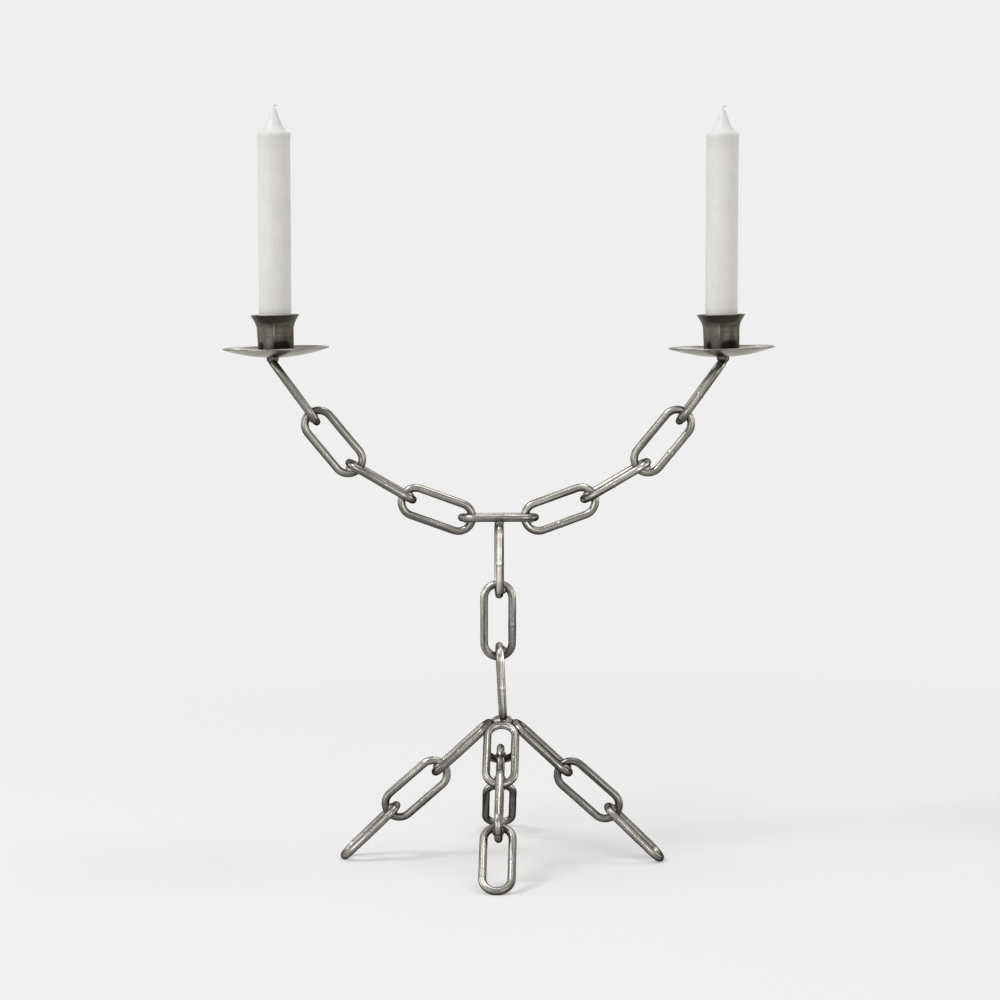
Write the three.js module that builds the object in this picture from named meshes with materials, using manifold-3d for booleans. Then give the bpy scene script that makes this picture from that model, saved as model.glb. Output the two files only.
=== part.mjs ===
// Two-light candelabra welded together from long-link chain.
// Millimetres and degrees, +Z up. The origin is on the floor, midway between the two candles.
// A heading is the direction of a run of chain seen from above, counted from +X towards +Y.

import * as THREE from 'three';
import { mergeVertices } from 'three/addons/utils/BufferGeometryUtils.js';
import Module from 'manifold-3d';

const wasm = await Module();
wasm.setup();
const deg = THREE.MathUtils.degToRad;

// Chain
const wireDiameter = 5.4;
const linkLength = 55.8;
const linkWidth = 24.7;
const jointGap = 1.85;       // between the wires of two links, filled by the weld
const seatGap = 0.8;         // where a stem link is welded across other links

// Base: each leg is three links laid from the foot up to the ring under the stem
const hubRadius = 9.1;       // from the middle of the ring to the end wire of each leg
const hubShift = 1.8;        // the base stands a little to the right
const footFlat = 0.4;        // depth of the flat ground on each foot
const legSlopeAngles = { foot: 43.9, middle: 41.3, upper: 42.5 };
const legSeatAngles = { ankle: -37, knee: 133 };
const legHeadingAngles = { left: 180, right: -4, front: 268, back: 91.3 };

// Stem: three links standing on the ring, from the bottom up
const stemShift = -0.8;      // the stem stands a little left of midway between the candles
const stemSlopeAngles = [92.8, 90, 90];
const stemRollAngles = [2, 1, 4];
const stemSeatAngles = [-70, 75];

// Arms: one level link on the stem and four climbing links on each side
const armHeadingAngle = 2.1;
const armCentreRollAngle = -3;  // the level link dips a little to the back
const armSlopeAngles = [19.8, 30.4, 50.5, 54];
const armSeatAngles = [187, 41, 252, 50];
const topLinkRollAngle = 3;  // the front rod of each top link sits a little inwards

// Candle holders
const panInsets = { left: 2.42, right: 0.82 };  // middle of the pan, inwards of its end wire
const holderLeanAngle = 1.4;  // both pans and cups dip a little to the left
const panRadius = 36.4;
const panDepth = 6.2;
const panThickness = 1.0;
const panGap = 0.3;          // pan above the wire that carries it
const cupHeight = 27.3;
const cupWall = 0.8;
const cupFloor = 1.0;
const cupRimRadius = 16.5;
const cupThroatHeight = 18;  // where the cup starts to flare
const flareExponent = 1.6;   // 1 would be a straight flare
const cupTaper = 0.4;        // how much the cup widens from its foot to the throat
const cupCorner = 1.3;

// Candles
const candleRadius = 11;
const candleLength = 148;    // from the foot to the shoulder
const candleFootInset = 0.5; // the foot is pared to go into the cup
const candleFootHeight = 10;
const candleFootChamfer = 1;
const shoulderBand = 0.25;   // how far the lip under the cone stands proud
const shoulderHeight = 2.2;
const coneHeight = 16.5;
const coneTipRadius = 1.5;
const coneEdge = 0.5;        // upright edge between the shoulder and the cone
const coneBends = [[8.2, 2.4], [6.2, 4.9], [4.1, 9.6]];  // radius and height above the shoulder
const wickRadius = 0.65;
const wickStand = 1.5;       // straight part of the wick above the tip
const wickCurl = 0.95;       // radius of its curled end
const clearance = 0.3;       // between pieces that fit or rest on each other

// Weld beads: half sizes along the joint, across it and up it
const jointBead = new THREE.Vector3(3.6, 4.1, 4.1);
const hubBead = new THREE.Vector3(8.6, 9.4, 4.6);
const hubBeadRise = 1.2;     // its middle above the end wires of the legs
const panBead = new THREE.Vector3(5.6, 7.2, 3.4);
const panBeadSink = 0.6;     // its middle below the top of the wire

// Facets
const wireSides = 8;
const cutterSides = 6;
const bendSteps = 7;
const turnSegments = 20;
const panSteps = 5;
const flareSteps = 4;
const coneSteps = 5;
const wickSteps = 8;
const wickCorners = 6;
const curlAngleStep = 45;

// Worked-out chain sizes, all on the middle line of the wire
const wireRadius = wireDiameter / 2;
const bendRadius = (linkWidth - wireDiameter) / 2;
const straightHalf = (linkLength - wireDiameter) / 2 - bendRadius;
const endHalf = straightHalf + bendRadius;
const nest = bendRadius - wireDiameter - jointGap;

const steel = new THREE.MeshStandardMaterial({ color: '#77746f', roughness: 0.38, metalness: 1 });
const weldSteel = new THREE.MeshStandardMaterial({ color: '#6b6864', roughness: 0.5, metalness: 1 });
const panSteel = new THREE.MeshStandardMaterial({ color: '#8b8984', roughness: 0.28, metalness: 1 });
const cupSteel = new THREE.MeshStandardMaterial({ color: '#55514c', roughness: 0.34, metalness: 1 });
const wax = new THREE.MeshStandardMaterial({ color: '#e9e7df', roughness: 0.5, metalness: 0 });
const cotton = new THREE.MeshStandardMaterial({ color: '#dddad2', roughness: 0.8, metalness: 0 });

const candelabra = new THREE.Group();

function addMesh(name, geometry, material, parent = candelabra) {
  const mesh = new THREE.Mesh(geometry, material);
  mesh.name = name;
  parent.add(mesh);
  return mesh;
}

function solidOf(geometry, matrix) {
  const shape = geometry.clone();
  if (matrix) shape.applyMatrix4(matrix);
  shape.deleteAttribute('normal');
  shape.deleteAttribute('uv');
  const merged = mergeVertices(shape, 1e-4);
  return new wasm.Manifold(new wasm.Mesh({
    numProp: 3,
    vertProperties: new Float32Array(merged.attributes.position.array),
    triVerts: new Uint32Array(merged.index.array),
  }));
}

function geometryOf(solid) {
  const mesh = solid.getMesh();
  const geometry = new THREE.BufferGeometry();
  geometry.setAttribute('position', new THREE.BufferAttribute(mesh.vertProperties, 3));
  geometry.setIndex(new THREE.BufferAttribute(mesh.triVerts, 1));
  geometry.computeVertexNormals();
  return geometry;
}

// One link: round wire swept round two half-circle bends and two straight sides, closed on itself.
// Its length lies along X and its width along Y. The section starts at the angle given.
function linkGeometry(radius, sides, startAngle) {
  const rings = [];
  for (const end of [1, -1]) {
    for (let i = 0; i <= bendSteps; i++) {
      const turn = Math.PI * (i / bendSteps - 0.5) + (end < 0 ? Math.PI : 0);
      rings.push({ turn, middle: end * straightHalf });
    }
  }
  const positions = [];
  for (const { turn, middle } of rings) {
    for (let j = 0; j < sides; j++) {
      const around = startAngle + (2 * Math.PI * j) / sides;
      const out = bendRadius + radius * Math.cos(around);
      positions.push(middle + out * Math.cos(turn), out * Math.sin(turn), radius * Math.sin(around));
    }
  }
  const index = [];
  for (let i = 0; i < rings.length; i++) {
    const here = i * sides;
    const next = ((i + 1) % rings.length) * sides;
    for (let j = 0; j < sides; j++) {
      const k = (j + 1) % sides;
      index.push(here + j, next + j, next + k, here + j, next + k, here + k);
    }
  }
  const geometry = new THREE.BufferGeometry();
  geometry.setAttribute('position', new THREE.Float32BufferAttribute(positions, 3));
  geometry.setIndex(index);
  geometry.computeVertexNormals();
  return geometry;
}

// The cutter's flats stand the clearance off the wire, and one of them faces into the loop
const link = linkGeometry(wireRadius, wireSides, 0);
const halfFlat = Math.PI / cutterSides;
const grownLink = linkGeometry((wireRadius + clearance) / Math.cos(halfFlat), cutterSides, halfFlat);

// Runs of chain are laid out in an upright plane, as points of reach and height.
// A link there has its middle, its slope, and a loop that is in the plane or crosswise to it.
function uprightPlane(origin, heading) {
  const out = new THREE.Vector3(Math.cos(heading), Math.sin(heading), 0);
  const side = new THREE.Vector3(-Math.sin(heading), Math.cos(heading), 0);
  const up = new THREE.Vector3(0, 0, 1);
  const turned = (point) => out.clone().multiplyScalar(point.x).addScaledVector(up, point.y);
  return { side, turned, place: (point) => turned(point).add(origin) };
}

const direction = (slope) => new THREE.Vector2(Math.cos(slope), Math.sin(slope));

const alongLink = (item, distance) => item.middle.clone().addScaledVector(direction(item.slope), distance);

// The link that follows: the crosswise end wire lies inside the in-plane bend, off its centre
// by nest in the direction seat. The weld fills the gap there between the two wires.
function nextLink(item, slope, seat) {
  const towards = direction(seat);
  const wire = item.inPlane
    ? alongLink(item, straightHalf).addScaledVector(towards, nest)
    : alongLink(item, endHalf);
  const start = item.inPlane ? wire.clone() : wire.clone().addScaledVector(towards, -nest);
  const reach = item.inPlane ? endHalf : straightHalf;
  return {
    slope,
    inPlane: !item.inPlane,
    middle: start.addScaledVector(direction(slope), reach),
    joint: { seat, at: wire.addScaledVector(towards, (wireDiameter + jointGap) / 2) },
  };
}

function linkMatrix(plane, item) {
  const along = plane.turned(direction(item.slope));
  const across = item.inPlane ? plane.turned(direction(item.slope + Math.PI / 2)) : plane.side.clone();
  across.applyAxisAngle(along, item.roll ?? 0);
  const matrix = new THREE.Matrix4().makeBasis(along, across, along.clone().cross(across));
  return matrix.setPosition(plane.place(item.middle));
}

function addLink(name, matrix) {
  const mesh = addMesh(name, link, steel);
  matrix.decompose(mesh.position, mesh.quaternion, mesh.scale);
  return matrix;
}

// Weld metal: a bead with a clearance cut round whatever it joins, kept as its largest lump
const bead = new THREE.SphereGeometry(1, 8, 5);

function addWeld(name, basis, radii, cutters) {
  const matrix = basis.clone().scale(radii);
  const cut = cutters.reduce((solid, cutter) => solid.subtract(cutter), solidOf(bead, matrix));
  const lumps = cut.decompose();
  lumps.sort((a, b) => b.volume() - a.volume());
  addMesh(name, geometryOf(lumps[0]), weldSteel);
}

const grownAt = (matrix) => solidOf(grownLink, matrix);

function addJointWeld(name, plane, joint, matrices) {
  const along = plane.turned(direction(joint.seat));
  const basis = new THREE.Matrix4().makeBasis(along, plane.side, along.clone().cross(plane.side));
  addWeld(name, basis.setPosition(plane.place(joint.at)), jointBead, matrices.map(grownAt));
}

// Legs, laid from the floor up and then moved out so that the upper end wire is on the ring
function layLeg() {
  const foot = { slope: Math.PI - deg(legSlopeAngles.foot), inPlane: false };
  const lowest = endHalf * Math.sin(foot.slope) + wireRadius;
  foot.middle = new THREE.Vector2(0, lowest - footFlat);
  const middle = nextLink(foot, Math.PI - deg(legSlopeAngles.middle), deg(legSeatAngles.ankle));
  const upper = nextLink(middle, Math.PI - deg(legSlopeAngles.upper), deg(legSeatAngles.knee));
  const top = alongLink(upper, endHalf);
  const shift = new THREE.Vector2(hubRadius - top.x, 0);
  for (const item of [foot, middle, upper]) item.middle.add(shift);
  for (const item of [middle, upper]) item.joint.at.add(shift);
  return { foot, middle, upper, hubHeight: top.y };
}

const leg = layLeg();
const hub = new THREE.Vector3(hubShift, 0, 0);
const legSpan = 2 * (hubRadius + 3 * linkLength);
const floorBox = new THREE.BoxGeometry(legSpan, legSpan, linkLength);
const floorBlock = solidOf(floorBox.translate(hubShift, 0, -linkLength / 2));
const upperLegMatrices = [];

for (const [side, heading] of Object.entries(legHeadingAngles)) {
  const plane = uprightPlane(hub, deg(heading));
  const upper = addLink(`${side}_leg_upper_link`, linkMatrix(plane, leg.upper));
  const middle = addLink(`${side}_leg_middle_link`, linkMatrix(plane, leg.middle));
  const foot = linkMatrix(plane, leg.foot);
  const ground = solidOf(link, foot).subtract(floorBlock);
  addMesh(`${side}_leg_foot_link`, geometryOf(ground), steel);
  addJointWeld(`${side}_leg_knee_weld`, plane, leg.upper.joint, [upper, middle]);
  addJointWeld(`${side}_leg_ankle_weld`, plane, leg.middle.joint, [middle, foot]);
  upperLegMatrices.push(upper);
}

// Height of a bend above two parallel wires that it rests on, each offset from its centre line
const restHeight = (offset) => Math.sqrt((bendRadius + wireDiameter + seatGap) ** 2 - offset ** 2);

// Stem, laid from the ring up
const stemFoot = new THREE.Vector3(stemShift, 0, 0);
const stemPlane = uprightPlane(stemFoot, 0);
const bottomBend = new THREE.Vector2(hubShift - stemShift, leg.hubHeight + restHeight(hubRadius));
const stemBottom = { slope: deg(stemSlopeAngles[0]), roll: deg(stemRollAngles[0]), inPlane: false };
stemBottom.middle = bottomBend.clone().addScaledVector(direction(stemBottom.slope), straightHalf);
const stemMiddle = nextLink(stemBottom, deg(stemSlopeAngles[1]), deg(stemSeatAngles[0]));
stemMiddle.roll = deg(stemRollAngles[1]);
const stemTop = nextLink(stemMiddle, deg(stemSlopeAngles[2]), deg(stemSeatAngles[1]));
stemTop.roll = deg(stemRollAngles[2]);

const stemBottomMatrix = addLink('stem_bottom_link', linkMatrix(stemPlane, stemBottom));
const stemMiddleMatrix = addLink('stem_middle_link', linkMatrix(stemPlane, stemMiddle));
const stemTopMatrix = addLink('stem_top_link', linkMatrix(stemPlane, stemTop));
addJointWeld('stem_lower_weld', stemPlane, stemMiddle.joint, [stemBottomMatrix, stemMiddleMatrix]);
addJointWeld('stem_upper_weld', stemPlane, stemTop.joint, [stemMiddleMatrix, stemTopMatrix]);

// Weld that ties the four leg links and the stem together in the middle of the ring
const hubBeadBasis = new THREE.Matrix4().setPosition(hubShift, 0, leg.hubHeight + hubBeadRise);
addWeld('hub_weld', hubBeadBasis, hubBead, [...upperLegMatrices, stemBottomMatrix].map(grownAt));

// Arms
const armStart = new THREE.Vector2(0, alongLink(stemTop, straightHalf).y + restHeight(bendRadius));
const armCentre = { slope: 0, roll: deg(armCentreRollAngle), inPlane: false, middle: armStart };
const armLinks = [];
armSlopeAngles.reduce((item, slope, i) => {
  const next = nextLink(item, deg(slope), deg(armSeatAngles[i]));
  armLinks.push(next);
  return next;
}, armCentre);

const rightPlane = uprightPlane(stemFoot, deg(armHeadingAngle));
const leftPlane = uprightPlane(stemFoot, deg(armHeadingAngle) + Math.PI);
const armCentreMatrix = addLink('arm_centre_link', linkMatrix(rightPlane, armCentre));

// Two welds hold the stem's top bend against the straight sides of the centre link
const topBend = stemPlane.place(alongLink(stemTop, straightHalf));
const acrossCentre = new THREE.Vector3();
armCentreMatrix.extractBasis(new THREE.Vector3(), acrossCentre, new THREE.Vector3());
for (const [name, sign] of [['front', -1], ['back', 1]]) {
  const rod = rightPlane.place(armStart).addScaledVector(acrossCentre, sign * bendRadius);
  const towards = rod.clone().sub(topBend).setX(0).normalize();
  const at = rod.clone().setX(topBend.x).addScaledVector(towards, -(wireDiameter + seatGap) / 2);
  const across = new THREE.Vector3(1, 0, 0);
  const basis = new THREE.Matrix4().makeBasis(towards, across, towards.clone().cross(across));
  const cutters = [stemTopMatrix, armCentreMatrix].map(grownAt);
  addWeld(`stem_top_${name}_weld`, basis.setPosition(at), jointBead, cutters);
}

// Pans are a shallow spun dish; the blank is the same dish filled in, used to trim the weld
const panRise = (radius) => panDepth * (radius / panRadius) ** 2;

function panProfile(lift) {
  const points = [];
  for (let i = 0; i <= panSteps; i++) {
    const radius = (panRadius * i) / panSteps;
    points.push(new THREE.Vector2(radius, panRise(radius) + lift));
  }
  return points;
}

function panGeometry() {
  const profile = [...panProfile(0), ...panProfile(panThickness).reverse()];
  return new THREE.LatheGeometry(profile, turnSegments).rotateX(Math.PI / 2);
}

function panBlank() {
  const profile = [...panProfile(-clearance), new THREE.Vector2(0, panDepth + cupHeight)];
  return new THREE.LatheGeometry(profile, turnSegments).rotateX(Math.PI / 2);
}

// Cups: a slightly tapered sleeve with a closed floor and a bell-mouthed rim
const cupFootRadius = candleRadius + clearance + cupWall;

function cupOutline(inset) {
  const throat = cupFootRadius + cupTaper - inset;
  const points = [new THREE.Vector2(throat, cupThroatHeight)];
  for (let i = 1; i <= flareSteps; i++) {
    const share = i / flareSteps;
    const radius = throat + (cupRimRadius - cupFootRadius - cupTaper) * share ** flareExponent;
    points.push(new THREE.Vector2(radius, cupThroatHeight + (cupHeight - cupThroatHeight) * share));
  }
  return points;
}

function cupGeometry() {
  const innerFoot = cupFootRadius - cupWall;
  const profile = [
    new THREE.Vector2(0, 0),
    new THREE.Vector2(cupFootRadius - cupCorner, 0),
    new THREE.Vector2(cupFootRadius, cupCorner),
    ...cupOutline(0),
    ...cupOutline(cupWall).reverse(),
    new THREE.Vector2(innerFoot, cupFloor + cupCorner / 2),
    new THREE.Vector2(innerFoot - cupCorner / 2, cupFloor),
    new THREE.Vector2(0, cupFloor),
  ];
  return new THREE.LatheGeometry(profile, turnSegments).rotateX(Math.PI / 2);
}

function candleGeometry() {
  const foot = candleRadius - candleFootInset;
  const cone = new THREE.SplineCurve([
    new THREE.Vector2(candleRadius, coneEdge),
    ...coneBends.map(([radius, height]) => new THREE.Vector2(radius, height)),
    new THREE.Vector2(coneTipRadius, coneHeight),
  ]);
  const band = candleRadius + shoulderBand;
  const profile = [
    new THREE.Vector2(0, 0),
    new THREE.Vector2(foot - candleFootChamfer, 0),
    new THREE.Vector2(foot, candleFootChamfer),
    new THREE.Vector2(candleRadius, candleFootHeight),
    new THREE.Vector2(candleRadius, candleLength - shoulderHeight - shoulderBand),
    new THREE.Vector2(band, candleLength - shoulderHeight),
    new THREE.Vector2(band, candleLength),
    ...cone.getPoints(coneSteps).map((point) => point.setY(point.y + candleLength)),
    new THREE.Vector2(0, candleLength + coneHeight),
  ];
  return new THREE.LatheGeometry(profile, turnSegments).rotateX(Math.PI / 2);
}

// A short wick that stands on the tip and curls over to one side
function wickGeometry() {
  const points = [new THREE.Vector3(0, 0, 0), new THREE.Vector3(0, 0, wickStand)];
  for (let angle = curlAngleStep; angle <= 180; angle += curlAngleStep) {
    const x = wickCurl * (1 - Math.cos(deg(angle)));
    points.push(new THREE.Vector3(x, 0, wickStand + wickCurl * Math.sin(deg(angle))));
  }
  const path = new THREE.CatmullRomCurve3(points);
  const section = new THREE.Shape().absarc(0, 0, wickRadius, 0, 2 * Math.PI);
  return new THREE.ExtrudeGeometry(section, {
    curveSegments: wickCorners / 2, steps: wickSteps, bevelEnabled: false, extrudePath: path,
  });
}

const topArmLink = armLinks[armLinks.length - 1];
const armEnd = alongLink(topArmLink, endHalf);
const panHeight = armEnd.y + wireRadius + panGap;
const cupFootFlat = cupFootRadius - cupCorner;
const cupSeat = panThickness + panRise(cupFootFlat) + clearance;
const lean = deg(holderLeanAngle);
const candleSeat = cupSeat + cupFloor + candleRadius * Math.sin(lean) + clearance;
const candleOffset = -(cupSeat + cupThroatHeight) * Math.sin(lean);

const armSides = [['left', leftPlane, topLinkRollAngle], ['right', rightPlane, -topLinkRollAngle]];
for (const [side, plane, roll] of armSides) {
  topArmLink.roll = deg(roll);
  const matrices = armLinks.map((item, i) => addLink(`${side}_arm_link_${i + 1}`, linkMatrix(plane, item)));
  armLinks.forEach((item, i) => {
    const pair = [i ? matrices[i - 1] : armCentreMatrix, matrices[i]];
    addJointWeld(`${side}_arm_weld_${i + 1}`, plane, item.joint, pair);
  });

  const holder = new THREE.Group();
  holder.position.copy(plane.place(new THREE.Vector2(armEnd.x - panInsets[side], panHeight)));
  holder.rotation.y = -lean;
  candelabra.add(holder);
  addMesh(`${side}_drip_pan`, panGeometry(), panSteel, holder);
  addMesh(`${side}_candle_cup`, cupGeometry(), cupSteel, holder).position.z = cupSeat;
  holder.updateMatrixWorld(true);

  const weldAt = plane.place(new THREE.Vector2(armEnd.x, armEnd.y + wireRadius - panBeadSink));
  const weldBasis = new THREE.Matrix4().makeRotationZ(deg(armHeadingAngle)).setPosition(weldAt);
  const topMatrix = matrices[matrices.length - 1];
  const cutters = [grownAt(topMatrix), solidOf(panBlank(), holder.matrixWorld)];
  addWeld(`${side}_pan_weld`, weldBasis, panBead, cutters);

  const candle = addMesh(`${side}_candle`, candleGeometry(), wax);
  candle.position.copy(holder.position).add(new THREE.Vector3(candleOffset, 0, candleSeat));
  const wick = addMesh(`${side}_wick`, wickGeometry(), cotton);
  wick.position.copy(candle.position);
  wick.position.z += candleLength + coneHeight + clearance;
}

export default candelabra;
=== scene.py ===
"""Two-light candelabra: long-link chain welded into a stand, with two straight candles."""

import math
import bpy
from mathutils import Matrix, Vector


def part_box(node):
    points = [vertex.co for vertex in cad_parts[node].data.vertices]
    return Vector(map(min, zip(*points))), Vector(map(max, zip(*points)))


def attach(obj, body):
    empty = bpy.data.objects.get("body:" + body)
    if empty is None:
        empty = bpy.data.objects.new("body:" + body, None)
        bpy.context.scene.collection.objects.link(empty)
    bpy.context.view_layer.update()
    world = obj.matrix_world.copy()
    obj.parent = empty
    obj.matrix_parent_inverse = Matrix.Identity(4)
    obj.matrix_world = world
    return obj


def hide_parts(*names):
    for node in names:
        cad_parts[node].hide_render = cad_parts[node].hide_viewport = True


bl_info = {
    "name": "Chain Candelabra",
    "version": (1, 0, 0),
    "blender": (4, 5, 0),
    "location": "View3D > Sidebar > Candelabra",
    "description": "Builds a candelabra of welded chain with drip pans, candle cups and candles",
    "category": "Object",
}

from collections import namedtuple

import bmesh
import bpy
import numpy as np
from bpy.props import FloatProperty, FloatVectorProperty, IntProperty, PointerProperty
from mathutils import Matrix, Vector

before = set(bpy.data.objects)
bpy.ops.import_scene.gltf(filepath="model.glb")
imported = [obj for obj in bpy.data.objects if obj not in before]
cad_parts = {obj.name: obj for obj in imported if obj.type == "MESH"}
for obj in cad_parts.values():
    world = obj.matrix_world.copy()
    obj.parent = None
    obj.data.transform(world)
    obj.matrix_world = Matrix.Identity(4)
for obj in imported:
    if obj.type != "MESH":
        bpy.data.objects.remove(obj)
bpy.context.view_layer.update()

MM = 0.001
UP = Vector((0, 0, 1))
SIDES = ("left", "right")
LINKS = sorted(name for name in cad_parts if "_link" in name)

# Only the welds of the stem, legs and pans: the numbered arm welds are left as plain CAD nodes
WELDS = sorted(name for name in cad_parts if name.endswith("_weld"))

# How light or dark the steel of one link is, where it isn't like the rest: partly the link's own tone, partly
# painted light and shade, with the right arm lighter and the left arm and the right leg darker as the light
# falls
LINK_TONE_AND_SHADE = {
    "stem_top_link": 1.42, "stem_bottom_link": 1.56,
    "left_arm_link_1": 0.9, "left_arm_link_2": 0.83, "left_arm_link_3": 0.85, "left_arm_link_4": 0.74,
    "right_arm_link_1": 1.15, "right_arm_link_3": 0.93, "right_arm_link_4": 0.88,
    "front_leg_upper_link": 1.05, "front_leg_middle_link": 1.32, "front_leg_foot_link": 0.9,
    "back_leg_upper_link": 0.85, "back_leg_middle_link": 1.05, "back_leg_foot_link": 0.95,
    "left_leg_middle_link": 0.82,
    "right_leg_upper_link": 0.8, "right_leg_middle_link": 0.7, "right_leg_foot_link": 0.82,
}

# Which way the upper side of the wire faces: painted highlight on that side, painted shade on the side away
# from it
LIT_SIDE = (-0.2, -0.15, 0.95)

# All steel is pitted below the first height and nearly smooth above the second
PITTED_HEIGHTS, SMOOTH_SHARE = (0.13, 0.25), 0.2
PIT_SIZE = 1.1 * MM

# How far the wide streaks, the fine ones and the dull patches go towards the dark colour
WIDE_STREAKS, FINE_STREAKS, DULL_PATCHES = 0.6, 0.4, 0.3

# What is left of the dark colour where the steel is burnt by a weld or painted darker on cups and pans, and
# in a pit
BURN_AND_PAINTED_DARK, PIT_DARK = 0.2, 0.5

# How much rougher the fine streaks, the dull patches and the burnt or painted darker places make the steel
STREAK_ROUGH, PATCH_ROUGH, BURN_AND_PAINTED_ROUGH = 0.12, 0.1, 0.12

# Height of the streaks and pits, and the fine streaks' share of it
RELIEF, FINE_RELIEF = 0.05 * MM, 0.35

# Streaks of one link differ from the next one's by this step through the noise
BATCH_STEP = 3.7

# A weld joins the wires that come this near to it
WELD_REACH = 9 * MM

# Heat tint round a weld: the peak less the distance counted in reaches, between 0 and 1
TINT_PEAK, TINT_REACH = 1.6, 5.5 * MM

# Lumpiness and lightness of each kind of bead, and a height that a bead never comes up to
HUB_LOOK, PAN_LOOK, JOINT_LOOK = (1.7, 1.6), (0.6, 0.65), (0.8, 1.15)
NO_CEILING = 1.0

# Lightness of each pan, and how much darker it is by the mm in from the edge: a dark line just inside the
# rim, and painted shade round the cup's foot
PAN_SHADES = {"left": 1.0, "right": 0.84}
PAN_TINT = ((0.0, 0.0), (1.0, 0.8), (4.0, 0.8), (6.0, 0.0), (19.0, 0.0), (24.0, 0.7))

# Where a cup's painted upright glint stands, in degrees round from the front
CUP_GLINTS = {"left": 0.0, "right": -11.25}

# Painted reflection on a cup: its lightness by the degrees round from its painted glint, lighter to the left
# and darker to the right, and by the height in mm, paler under the flare
CUP_PAINTED_SIDES = ((-180, 0.85), (-90, 1.0), (-25, 1.0), (-2, 0.85), (4, 0.65), (80, 0.6), (180, 0.85))
CUP_PAINTED_THROAT = ((13.0, 1.0), (18.5, 1.3), (20.5, 1.3), (22.5, 1.2))

# A cup's upper flare is painted darker in front and behind, as a painted dark reflection: where it starts as
# a share of the cup's height, and its rise by 60 degrees round
BAND_HEIGHT, BAND_BOW = 0.78, 3.2 * MM

# Painted dark reflections at a cup's foot: degrees round from the front, half the width, height in mm
PAINTED_FOOT_REFLECTIONS = ((-49, 13, 9.5), (25, 35, 10.5), (112, 12, 8.0), (166, 24, 9.0), (-124, 18, 10.0))

# Outline of a candle's tip between its shoulder and its top: radius and height in mm
TIP_BENDS = ((8.2, 2.4), (6.2, 4.9), (4.1, 9.6))

# Degrees that a wick's end curls round, and how deep its foot is sunk
CURL_TURN, WICK_SINK = 176, 0.25 * MM

# Strands of a wick, and their twist in radians a metre
WICK_STRANDS, WICK_TWIST = 6, 2200.0

# Lamps: degrees round from the camera's side, degrees up, width and height in metres, radiance
LAMPS = {
    "key": (-62, 52, 2.0, 2.0, 14.1),
    "front_left": (-36, 6, 4.6, 3.0, 2.0),
    "front_right": (29, 6, 3.6, 3.0, 2.9),
    "side_left": (-98, 8, 4.0, 3.0, 1.5),
    "side_right": (98, 10, 3.0, 3.0, 2.2),
    "back": (174.5, 24, 1.9, 0.7, 3.2),
    "top": (100, 78, 2.6, 2.6, 4.2),
}
LAMP_DISTANCE, LAMP_AIM = 6.0, Vector((0, 0, 0.25))


# Sizes and colours

def maker(kind, **fixed):
    """A function that makes one kind of property from its name, description and default."""
    def make(name, description, default, **more):
        return kind(name=name, description=description, default=default, **fixed, **more)
    return make


size = maker(FloatProperty, min=0.0, unit="LENGTH", precision=5)
sizes = maker(FloatVectorProperty, size=3, unit="LENGTH", precision=5)
color = maker(FloatVectorProperty, min=0.0, max=1.0, size=3, subtype="COLOR")
share = maker(FloatProperty, min=0.0, max=1.0, subtype="FACTOR")
number = maker(FloatProperty)
count = maker(IntProperty)


def box_radius(node):
    """Radius of a round piece that leans about Y only, so its width along Y is its diameter."""
    low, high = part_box(node)
    return (high.y - low.y) / 2


class ChainSettings(bpy.types.PropertyGroup):
    """The chain that the stand is welded from."""

    link_length: size("Link Length", "Outside length of a link", 55.8 * MM)
    link_width: size("Link Width", "Outside width of a link", 24.7 * MM)
    wire: size("Wire", "Diameter of the wire", 5.4 * MM)
    seam_height: size("Seam Height", "How far the closing seam of a link stands proud", 0.16 * MM)
    seam_width: size("Seam Width", "Half width of the closing seam", 1.3 * MM)
    seam_offset: size("Seam Offset", "From the middle of the link to its closing seam", 3.0 * MM)
    unevenness: size("Unevenness", "Hand-made lumps and hollows along the wire", 0.05 * MM)
    rings: count("Rings", "Rings of faces along a link", 144, min=24)
    sides: count("Sides", "Faces around the wire", 20, min=6)
    steel: color("Steel", "Colour of the bare steel", (0.525, 0.503, 0.468))
    stain: color("Stain", "Colour of the dark drawn streaks", (0.045, 0.042, 0.038))
    roughness: share("Roughness", "Roughness of the drawn wire", 0.21)
    # Painted light: the wire is painted brighter on its upper side as a painted highlight, and darker
    # underneath as painted shade
    painted_highlight: share("Wear", "How much brighter the wire is rubbed on the side that is handled", 0.4)
    painted_shade: share("Tarnish", "How much darker the wire is on the side away from the hand", 0.5)


class WeldSettings(bpy.types.PropertyGroup):
    """The beads of weld metal on the stem and legs and under the pans."""

    joint: sizes("Joint Bead", "Half sizes of a bead between two links", (3.6 * MM, 4.1 * MM, 4.1 * MM))
    seat: sizes(
        "Seat Bead", "Half sizes of a bead between the stem and the level link",
        (3.3 * MM, 3.0 * MM, 3.0 * MM),
    )
    hub: sizes("Hub Bead", "Half sizes of the bead under the stem", (7.2 * MM, 7.6 * MM, 4.4 * MM))
    pan: sizes("Pan Bead", "Half sizes of the bead under a drip pan", (4.2 * MM, 6.2 * MM, 4.2 * MM))
    hub_rise: size("Hub Rise", "Middle of the hub bead above the end wires of the legs", 1.0 * MM)
    pan_reach: size("Pan Reach", "How far a pan bead goes up into the pan", 0.8 * MM)
    lumps: size("Lumps", "Height of the lumps on a bead", 0.45 * MM)
    fineness: count("Fineness", "How often the faces of a bead are divided", 5, min=2)
    steel: color("Steel", "Colour of the weld metal", (0.25, 0.238, 0.22))
    scale: color("Scale", "Colour of the burnt skin on it", (0.07, 0.065, 0.06))
    roughness: share("Roughness", "Roughness of the weld metal", 0.36)


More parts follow.
